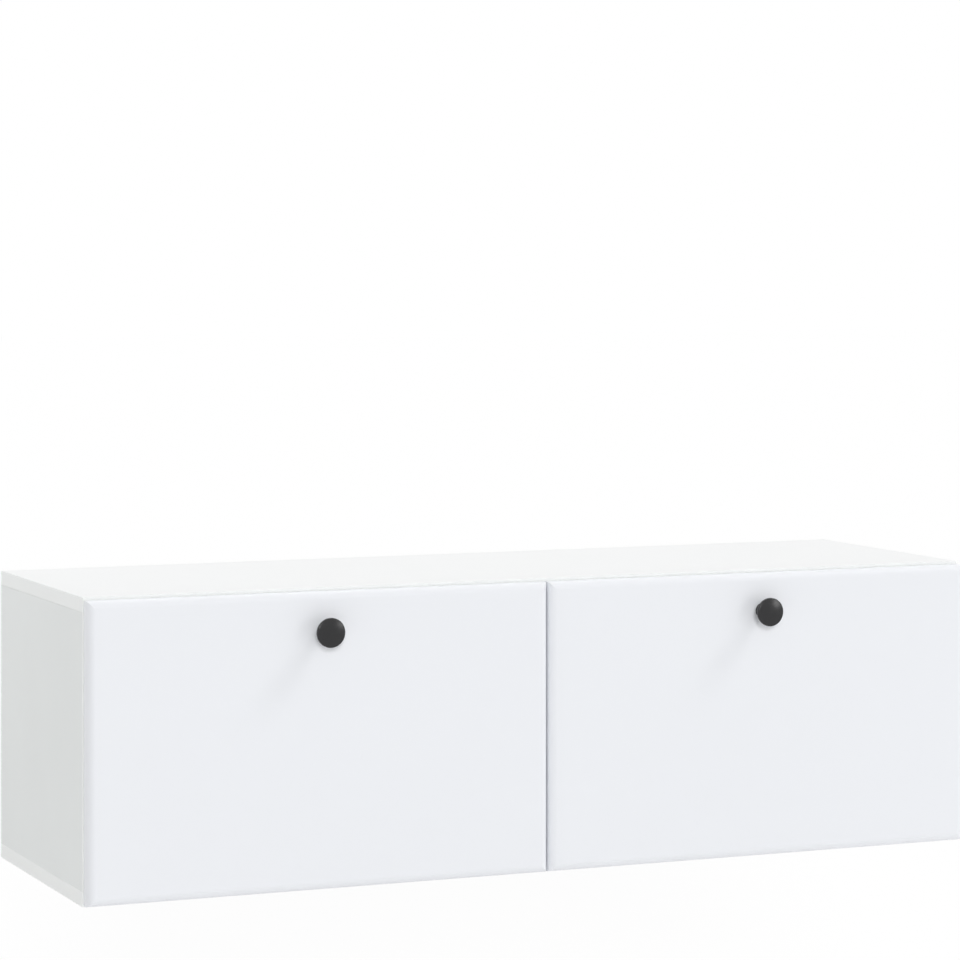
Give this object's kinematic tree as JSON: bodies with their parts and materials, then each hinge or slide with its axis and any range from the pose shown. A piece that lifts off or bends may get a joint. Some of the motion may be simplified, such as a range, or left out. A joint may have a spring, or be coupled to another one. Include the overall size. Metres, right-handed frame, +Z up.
{
  "type": "floating media console",
  "caption": "Long low wall-hung media console with drop-down flap fronts, round black knobs and a cable space behind its back panel.",
  "frame": {"origin": "middle of the wall rail's hole line, on the wall plane", "axes": "+X to the right seen from the front, +Y into the wall, +Z up; the flaps face -Y"},
  "size_m": [1, 0.3415, 0.307],
  "materials": {
    "white_board": "white matt foil over particle board",
    "white_front": "white satin foil wrapped over fibre board",
    "back_board": "white painted hardboard",
    "knob_black": "satin black coat",
    "zinc_steel": "zinc-plated sheet steel",
    "nickel_steel": "nickel-plated steel",
    "cast_zinc": "die-cast zinc alloy, dull",
    "white_plastic": "white moulded plastic",
    "magnet_dark": "dark ferrite block with steel pole plates",
    "clear_pad": "clear soft polyurethane",
    "beech": "grooved beech"
  },
  "bodies": {
    "carcass": {"top_panel": "white_board", "bottom_panel": "white_board", "left_side_panel": "white_board", "right_side_panel": "white_board", "centre_divider": "white_board", "back_panel": "back_board", "cam_locks": "cast_zinc", "cam_covers": "white_plastic", "cam_bolts": "zinc_steel", "wall_rail": "zinc_steel", "hanger_adjusters": "zinc_steel", "hinge_arm_screws": "zinc_steel", "catch_screws": "zinc_steel", "corner_dowels": "beech", "left_hanger": "white_plastic", "left_catch_housing": "white_plastic", "left_hanger_hook": "zinc_steel", "left_stay_stud": "nickel_steel", "left_catch_magnet": "magnet_dark", "left_inner_hinge_arm": "nickel_steel", "left_outer_hinge_arm": "nickel_steel", "right_hanger": "white_plastic", "right_catch_housing": "white_plastic", "right_hanger_hook": "zinc_steel", "right_stay_stud": "nickel_steel", "right_catch_magnet": "magnet_dark", "right_inner_hinge_arm": "nickel_steel", "right_outer_hinge_arm": "nickel_steel"},
    "left_flap_body": {"left_flap": "white_front", "left_knob": "knob_black", "left_knob_screw": "zinc_steel", "left_flap_screws": "zinc_steel", "left_stay_bracket": "zinc_steel", "left_stay_rivet": "nickel_steel", "left_strike_plate": "zinc_steel", "left_bumpers": "clear_pad", "left_inner_hinge_leaf": "nickel_steel", "left_inner_hinge_pin": "nickel_steel", "left_outer_hinge_leaf": "nickel_steel", "left_outer_hinge_pin": "nickel_steel"},
    "left_stay_body": {"left_stay_arm": "nickel_steel"},
    "right_flap_body": {"right_flap": "white_front", "right_knob": "knob_black", "right_knob_screw": "zinc_steel", "right_flap_screws": "zinc_steel", "right_stay_bracket": "zinc_steel", "right_stay_rivet": "nickel_steel", "right_strike_plate": "zinc_steel", "right_bumpers": "clear_pad", "right_inner_hinge_leaf": "nickel_steel", "right_inner_hinge_pin": "nickel_steel", "right_outer_hinge_leaf": "nickel_steel", "right_outer_hinge_pin": "nickel_steel"},
    "right_stay_body": {"right_stay_arm": "nickel_steel"}
  },
  "joints": [
    {"name": "left_flap_hinge", "type": "hinge", "parent": "carcass", "child": "left_flap_body", "pos_m": [-0.25, -0.3075, -0.2325], "axis": [1, 0, 0], "range_deg": [0, 90]},
    {"name": "left_stay_pivot", "type": "hinge", "parent": "left_flap_body", "child": "left_stay_body", "pos_m": [-0.4805, -0.293, -0.0832], "axis": [1, 0, 0], "range_deg": [-45, 0]},
    {"name": "right_flap_hinge", "type": "hinge", "parent": "carcass", "child": "right_flap_body", "pos_m": [0.25, -0.3075, -0.2325], "axis": [1, 0, 0], "range_deg": [0, 90]},
    {"name": "right_stay_pivot", "type": "hinge", "parent": "right_flap_body", "child": "right_stay_body", "pos_m": [0.4805, -0.293, -0.0832], "axis": [1, 0, 0], "range_deg": [-45, 0]}
  ],
  "couplings": [
    {"joint": "left_stay_pivot", "follows": "left_flap_hinge", "ratio": -0.5},
    {"joint": "right_stay_pivot", "follows": "right_flap_hinge", "ratio": -0.5}
  ]
}
